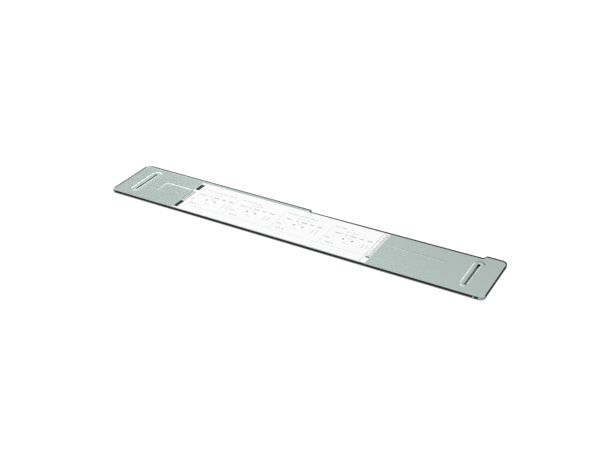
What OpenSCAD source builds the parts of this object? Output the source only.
// Flat slide-chart rule: a thin sheet-metal sandwich case with one long slide inside it.
// The slide runs along X on two rails and is read through a slit window near each end of the
// case and through a narrow index window beside the printed face card.
// Origin: centre of the underside of the whole outline. +X along the rule, +Z out of the face.

/* [Case] */
// Overall length of the case and of the closed rule
rule_l = 300; // [290:1:320]
// Width of the straight body, without the ear
body_w = 47; // [46.8:0.1:50]
// How far the ear at the right end stands out past the far edge
ear_rise = 2.6; // [1.8:0.1:4]
// Length of the ear along the rule
ear_l = 16; // [14:0.5:20]
// Rounding of the three plain corners
corner_r = 3.6; // [3:0.1:5]
// Rounding of the ear's outer corner
ear_r = 4.5; // [4:0.5:8]

/* [Sheet thicknesses] */
// Back cover sheet
back_t = 0.7; // [0.6:0.05:1]
// Space between the covers, where the slide runs
gap_t = 1.1; // [1.1:0.05:1.6]
// Face cover sheet
face_t = 0.5; // [0.4:0.05:0.6]
// Printed face card
card_t = 0.15; // [0.1:0.05:0.25]

/* [Thumb recess] */
// Place of the recess's left end along the rule
step_x = 0.4; // [-5:0.1:5]
// Depth of the recess below the far edge, at its left end
recess_deep = 2.7; // [2.7:0.1:3]
// Depth of the recess below the far edge, at its right end
recess_shallow = 0.8; // [0.4:0.1:1.2]
// Length of the thumb notch cut in the back cover's recessed edge
notch_l = 36; // [20:1:60]
// Depth of the thumb notch
notch_d = 3.4; // [2:0.1:3.8]

/* [Slit windows] */
// Distance of each end window from the middle of the rule
window_x = 133.8; // [130:0.1:136]
// Length of an end window across the rule
window_l = 28; // [22:0.5:30]
// Width of an end window
window_w = 2.2; // [1.6:0.1:2.6]
// Half the width of the raised bead round an end window
ring_half_w = 1.7; // [1.2:0.1:2]
// Height of the raised bead round an end window
ring_h = 0.45; // [0.2:0.05:0.45]

/* [Face card] */
// Left edge of the card
card_left = -93.7; // [-96:0.1:-93.4]
// Length of the card
card_l = 159.6; // [150:0.1:164]
// Width of the card
card_w = 42.1; // [38:0.1:42.4]
// Middle of the narrow index window along the rule
index_x = -92.1; // [-92.3:0.1:-92]
// Length of the index window across the rule
index_l = 15.3; // [12:0.1:16]
// Width of the index window
index_w = 1.9; // [1.4:0.1:2]

/* [Slide] */
// Travel of the slide each way
travel = 100; // [60:1:110]
// Thickness of the slide plate
slide_t = 0.75; // [0.6:0.05:0.8]
// Free space above and below the slide
slide_clear = 0.1; // [0.05:0.05:0.15]
// Side clearance of the slide on its rails
side_clear = 0.1; // [0.05:0.05:0.2]
// Length of the ribbed grip strip on the slide's far edge
grip_l = 246; // [160:1:250]

/* [Hidden] */

$fn = 48;
eps = 0.01;
cut = 1;

// Plan of the case, in Y measured from the middle of the whole outline
half_l = rule_l / 2;
total_w = body_w + ear_rise;
near_y = -total_w / 2;
far_y = near_y + body_w;
ear_y = total_w / 2;
mid_y = near_y + body_w / 2;
ear_x = half_l - ear_l;
foot_r = 1.7;
step_round = 1.9;
step_foot = 0.7;

// Levels
gap_z = back_t;
face_z = back_t + gap_t;
top_z = face_z + face_t;

// Rails and slide, across the rule
near_rail_w = 2.4;
slide_near_y = near_y + near_rail_w + side_clear;
grip_y = far_y - 1.9;
grip_w = 1;
slide_far_y = grip_y - grip_w;
far_rail_y = grip_y + side_clear;
cap_l = 2.5;
slide_z = gap_z + slide_clear;
strip_t = 0.1;
strip_l = 288;
strip_w = 29;

// Skirts of the face cover, turned down round three corners
skirt_t = 0.4;
skirt_z = 0.25;

// Crimp tab of the face cover, bent down over the near rail
tab_x = 143;
tab_l = 1.6;

// Beads pressed into the face cover
bead_half_w = 1;
bead_h = 0.25;
bead_corner_x = -118;
bead_y = mid_y + 5.4;
bead_foot_y = mid_y - 8.2;
faint_bead_h = 0.12;
faint_bead_x = [69, 113.6];
hem_half_w = 0.8;
hem_h = 0.3;
hem_y = far_y - 0.9;
hem_x = [-half_l + 5, step_x - 2.6];
nub_r = 0.85;
nub_l = 5;
nub_h = 0.5;

// Stop rivet and its slot in the slide
stop_r = 1;
stop_head_r = 2;
stop_y = mid_y - 17.5;
stop_slot_r = stop_r + 0.05;

// Small flush rivets that hold the back cover to the rails
rivet_r = 0.45;
rivet_head_r = 0.75;
rivet_head_t = 0.3;
rivet_top = back_t + 0.6;
rivet_gap = 0.02;
near_rivet_x = [-120, -40, 40, 120];
far_rivet_x = [-120, -65, -12];
near_rivet_y = near_y + 1.2;
far_rivet_y = far_y - 0.9;
ear_rivet = [half_l - 8, ear_y - 2.2];

// Drag springs, bowed out of pockets in the near rail
spring_x = 80;
spring_l = 30;
spring_t = 0.2;
spring_bow = 1;
spring_h = gap_t - 0.2;
pocket_d = 1.3;
pocket_l = spring_l + 4;
spring_r = (pow(spring_l / 2, 2) + pow(spring_bow, 2)) / (2 * spring_bow);

alu = [0.71, 0.76, 0.74];
steel = [0.62, 0.63, 0.64];
black = [0.07, 0.07, 0.075];

// Removes what lies outside a rounded corner whose tip is at the origin, material to -x and -y
module round_off(r) {
    difference() {
        translate([-r, -r]) square(r + 0.5);
        translate([-r, -r]) circle(r);
    }
}

// Fills an inside corner whose tip is at the origin, with the free space to +x and +y
module fill_in(r) {
    difference() {
        translate([-0.3, -0.3]) square(r + 0.3);
        translate([r, r]) circle(r);
    }
}

// The recess along the right half of the far edge, which grows shallower to the right
module recess() {
    polygon([[step_x, far_y - recess_deep], [ear_x, far_y - recess_shallow],
        [ear_x, far_y + cut], [step_x, far_y + cut]]);
}

// Outline of both covers
module case_plan() {
    difference() {
        union() {
            difference() {
                translate([-half_l, near_y]) square([rule_l, body_w]);
                recess();
                translate([step_x, far_y]) round_off(step_round);
            }
            translate([ear_x, near_y]) square([ear_l, total_w]);
            translate([step_x, far_y - recess_deep]) fill_in(step_foot);
            translate([ear_x, far_y - recess_shallow]) mirror([1, 0]) fill_in(foot_r);
        }
        translate([ear_x, ear_y]) mirror([1, 0]) round_off(foot_r);
        translate([half_l, ear_y]) round_off(ear_r);
        translate([half_l, near_y]) mirror([0, 1]) round_off(corner_r);
        translate([-half_l, near_y]) rotate(180) round_off(corner_r);
        translate([-half_l, far_y]) mirror([1, 0]) round_off(corner_r);
    }
}

// Quarter band inside a rounded corner whose tip is at the origin, with some over outside it
module corner_band(r, over) {
    translate([-r, -r]) intersection() {
        square(r + cut);
        difference() {
            circle(r + over);
            circle(r - skirt_t);
        }
    }
}

// Bands of the three corners that the face cover's skirts wrap, clear of the slide's path
module skirts_plan(over = 0) {
    difference() {
        union() {
            translate([half_l, near_y]) mirror([0, 1]) corner_band(corner_r, over);
            translate([-half_l, near_y]) rotate(180) corner_band(corner_r, over);
            translate([-half_l, far_y]) mirror([1, 0]) corner_band(corner_r, over);
        }
        translate([-half_l - cut, near_y + near_rail_w])
            square([rule_l + 2 * cut, far_rail_y - near_y - near_rail_w]);
    }
    translate([tab_x - tab_l / 2, near_y - over]) square([tab_l, skirt_t + over]);
}

// Outline of the rails and back cover, inside the skirts
module inner_plan() {
    difference() {
        case_plan();
        skirts_plan(cut / 5);
    }
}

// Cross-section of a pressed bead: a low circle segment of half width w and height h
module bead_section(w, h) {
    r = (w * w + h * h) / (2 * h);
    intersection() {
        translate([0, h - r]) circle(r, $fn = 96);
        translate([-w - cut, 0]) square([2 * w + 2 * cut, h + cut]);
    }
}

// Straight bead along +X from the origin
module bead_run(l, w, h) {
    rotate([90, 0, 90]) linear_extrude(l) bead_section(w, h);
}

// Raised bead that runs round a slit window, with its inner foot on the slit
module ring_bead() {
    path_r = window_w / 2 + ring_half_w;
    straight = window_l - window_w;
    for (side = [-1, 1]) {
        translate([side * path_r, -straight / 2, 0]) rotate(90) bead_run(straight, ring_half_w, ring_h);
        translate([0, side * straight / 2, 0]) rotate(side > 0 ? 0 : 180)
            rotate_extrude(angle = 180) translate([path_r, 0]) bead_section(ring_half_w, ring_h);
    }
}

// L-shaped stiffening bead on the left, and its faint continuation on the right
module body_beads() {
    translate([bead_corner_x, bead_y, 0])
        bead_run(card_left - 1 - bead_corner_x, bead_half_w, bead_h);
    translate([bead_corner_x, bead_foot_y, 0]) rotate(90)
        bead_run(bead_y - bead_foot_y, bead_half_w, bead_h);
    translate([faint_bead_x[0], bead_y, 0])
        bead_run(faint_bead_x[1] - faint_bead_x[0], bead_half_w, faint_bead_h);
}

// Raised hem along the left half of the far edge, which ends in a small nub at the recess
module hem() {
    translate([hem_x[0], hem_y, 0]) bead_run(hem_x[1] - hem_x[0], hem_half_w, hem_h);
    translate([hem_x[1] - nub_l, hem_y, nub_h - nub_r]) intersection() {
        union() {
            rotate([0, 90, 0]) cylinder(r = nub_r, h = nub_l);
            sphere(nub_r);
            translate([nub_l, 0, 0]) sphere(nub_r);
        }
        translate([-nub_r - cut, -nub_r, nub_r - nub_h - face_t / 2])
            cube([nub_l + 2 * nub_r + 2 * cut, 2 * nub_r, nub_r + nub_h]);
    }
}

// Slit with round ends, across the rule
module slit(l, w, h) {
    for (side = [-1, 1])
        translate([0, side * (l - w) / 2, 0]) cylinder(d = w, h = h);
    translate([-w / 2, -(l - w) / 2, 0]) cube([w, l - w, h]);
}

// Index window opening, shared by the face cover and the card
module index_opening(h) {
    translate([index_x - index_w / 2, mid_y - 10.7, 0]) cube([index_w, index_l, h]);
}

module face_cover() {
    color(alu) difference() {
        union() {
            translate([0, 0, face_z]) linear_extrude(face_t) case_plan();
            translate([0, 0, skirt_z]) linear_extrude(face_z + face_t / 2 - skirt_z) skirts_plan();
            translate([0, 0, top_z]) {
                for (side = [-1, 1]) translate([side * window_x, mid_y, 0]) ring_bead();
                body_beads();
                hem();
            }
        }
        // The beads are pressed, so they are hollow underneath
        for (side = [-1, 1]) translate([side * window_x, mid_y, face_z]) ring_bead();
        for (side = [-1, 1]) translate([side * window_x, mid_y, face_z - cut])
            slit(window_l, window_w, face_t + ring_h + 2 * cut);
        translate([0, 0, face_z - cut]) index_opening(face_t + 2 * cut);
    }
}

module back_cover() {
    color(steel) difference() {
        linear_extrude(back_t) difference() {
            inner_plan();
            // Thumb notch in the recessed edge
            translate([step_x + 12 + notch_l / 2, far_y - recess_deep + 1.2]) intersection() {
                translate([0, notch_r() - notch_d]) circle(notch_r(), $fn = 120);
                translate([-notch_l, -notch_d - cut]) square([2 * notch_l, notch_d + 3 * cut]);
            }
        }
        translate([0, stop_y, -cut]) cylinder(r = stop_r + rivet_gap, h = back_t + 2 * cut);
        translate([0, stop_y, -cut]) cylinder(r = stop_head_r + rivet_gap, h = cut + back_t / 2);
        at_rivets() translate([0, 0, -cut]) cylinder(r = rivet_r + rivet_gap, h = back_t + 2 * cut);
        at_rivets() translate([0, 0, -cut]) cylinder(r = rivet_head_r + rivet_gap, h = cut + rivet_head_t);
    }
}

// Radius of the thumb notch, from its length and depth
function notch_r() = (pow(notch_l / 2, 2) + pow(notch_d, 2)) / (2 * notch_d);

// Places of the small rivets
module at_rivets() {
    for (x = near_rivet_x) translate([x, near_rivet_y, 0]) children();
    for (x = far_rivet_x) translate([x, far_rivet_y, 0]) children();
    translate([ear_rivet[0], ear_rivet[1], 0]) children();
}

// A rail fills the gap between the covers inside the region given, and is drilled for its rivets
module rail() {
    color(black) difference() {
        translate([0, 0, gap_z]) linear_extrude(gap_t) intersection() {
            inner_plan();
            children();
        }
        at_rivets() translate([0, 0, gap_z - cut])
            cylinder(r = rivet_r + rivet_gap, h = cut + rivet_top - gap_z + rivet_gap);
    }
}

module near_rail() {
    difference() {
        rail() translate([-half_l, near_y]) square([rule_l, near_rail_w]);
        for (side = [-1, 1]) color(black)
            translate([side * spring_x - pocket_l / 2, near_y + near_rail_w - pocket_d, gap_z + 0.1])
                cube([pocket_l, pocket_d + cut, gap_t]);
    }
}

module far_rail_left() {
    rail() translate([-half_l, far_rail_y]) square([half_l + step_x, body_w]);
}

module far_rail_right() {
    rail() translate([ear_x + 0.5, far_rail_y + 1]) square([ear_l, body_w]);
}

module face_card() {
    color("white") difference() {
        translate([card_left, mid_y - 22.8, top_z]) cube([card_l, card_w, card_t]);
        translate([0, 0, top_z - cut]) index_opening(card_t + 2 * cut);
    }
}

module index_pane() {
    color([0.85, 0.9, 0.92, 0.5]) translate([0, 0, top_z - 0.3]) index_opening(0.3 + card_t / 2);
}

// Bowed leaf spring, its ends on the pocket's back wall and its crest just off the slide
module drag_spring(x) {
    back_y = near_y + near_rail_w - pocket_d + eps;
    color(steel) translate([x, back_y + spring_bow + spring_t - spring_r, gap_z + 0.1]) intersection() {
        difference() {
            cylinder(r = spring_r, h = spring_h, $fn = 180);
            translate([0, 0, -cut]) cylinder(r = spring_r - spring_t, h = spring_h + 2 * cut, $fn = 180);
        }
        translate([-spring_l / 2, spring_r - spring_bow - spring_t, 0])
            cube([spring_l, spring_bow + spring_t, spring_h]);
    }
}

module left_drag_spring() {
    drag_spring(-spring_x);
}

module right_drag_spring() {
    drag_spring(spring_x);
}

module stop_rivet() {
    color(steel) translate([0, stop_y, 0]) {
        cylinder(r = stop_head_r, h = back_t / 2);
        cylinder(r = stop_r, h = face_z - slide_clear / 2);
    }
}

module back_rivets() {
    color(steel) at_rivets() {
        cylinder(r = rivet_head_r, h = rivet_head_t);
        cylinder(r = rivet_r, h = rivet_top);
    }
}

module slide_plate() {
    color(black) difference() {
        translate([-half_l + cap_l, slide_near_y, slide_z])
            cube([rule_l - 2 * cap_l, slide_far_y - slide_near_y, slide_t]);
        // Slot that rides on the stop rivet
        translate([0, stop_y, slide_z - cut]) rotate(90)
            slit(2 * travel + 2 * stop_slot_r, 2 * stop_slot_r, slide_t + 2 * cut);
    }
}

module scale_strip() {
    color("whitesmoke") translate([-strip_l / 2, mid_y - strip_w / 2, slide_z + slide_t])
        cube([strip_l, strip_w, strip_t]);
}

module grip_strip() {
    color(black) translate([-grip_l / 2, slide_far_y, slide_z])
        cube([grip_l, grip_w, slide_t + strip_t]);
}

module end_cap(side) {
    cap_w = slide_far_y - slide_near_y - 2 * corner_r;
    color(black) translate([side * (half_l - cap_l / 2), slide_near_y + corner_r + cap_w / 2, slide_z])
        translate([-cap_l / 2, -cap_w / 2, 0]) cube([cap_l, cap_w, slide_t + strip_t]);
}

module left_end_cap() {
    end_cap(-1);
}

module right_end_cap() {
    end_cap(1);
}

face_cover();
back_cover();
near_rail();
far_rail_left();
far_rail_right();
face_card();
index_pane();
left_drag_spring();
right_drag_spring();
stop_rivet();
back_rivets();
slide_plate();
scale_strip();
grip_strip();
left_end_cap();
right_end_cap();
